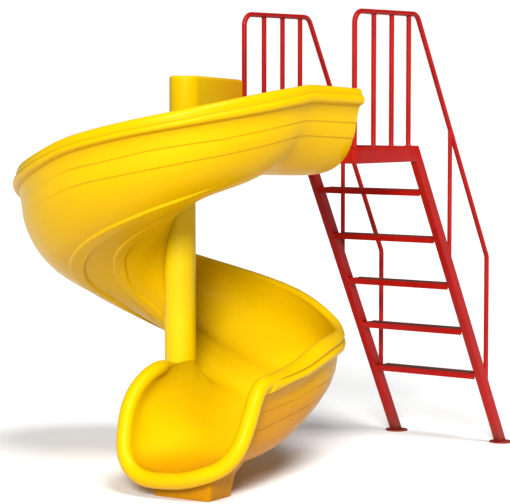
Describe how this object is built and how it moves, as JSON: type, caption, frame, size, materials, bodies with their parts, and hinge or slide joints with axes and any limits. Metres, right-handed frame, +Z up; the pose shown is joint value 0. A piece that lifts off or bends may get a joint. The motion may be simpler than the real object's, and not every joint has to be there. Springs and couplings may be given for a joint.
{
  "type": "spiral slide tower",
  "caption": "Spiral playground slide: a moulded trough turning once around a column, with a steel ladder, platform and guard rails.",
  "frame": {"origin": "centre of the column's foot on the ground", "axes": "+Z up; +X along the ladder treads, from the column towards the outer wall of the slide's entry; +Y from the slide towards the foot of the ladder"},
  "size_m": [1.6531, 2.6246, 2.2647],
  "materials": {
    "yellow_gelcoat": "glossy gelcoat on glass fibre",
    "yellow_paint": "gloss paint",
    "red_paint": "gloss enamel"
  },
  "bodies": {
    "root": {"platform_channel_left": "red_paint", "platform_channel_right": "red_paint", "platform_front_beam": "red_paint", "platform_rear_beam": "red_paint", "platform_floor": "red_paint", "stringer_left": "red_paint", "foot_plate_left": "red_paint", "stringer_right": "red_paint", "foot_plate_right": "red_paint", "tread_5": "red_paint", "tread_4": "red_paint", "tread_3": "red_paint", "tread_2": "red_paint", "tread_1": "red_paint", "guard_rail_left": "red_paint", "baluster_left_1": "red_paint", "baluster_left_2": "red_paint", "baluster_left_3": "red_paint", "handrail_post_left": "red_paint", "guard_rail_right": "red_paint", "baluster_right_1": "red_paint", "baluster_right_2": "red_paint", "baluster_right_3": "red_paint", "handrail_post_right": "red_paint", "column_foot_plate": "yellow_paint", "column": "yellow_paint", "entry_trough": "yellow_gelcoat", "flight_1": "yellow_gelcoat", "flight_2": "yellow_gelcoat", "flight_3": "yellow_gelcoat", "flight_4": "yellow_gelcoat", "flight_5": "yellow_gelcoat", "exit_trough": "yellow_gelcoat", "exit_pedestal": "yellow_gelcoat", "entry_inner_wall": "yellow_gelcoat"}
  },
  "joints": []
}
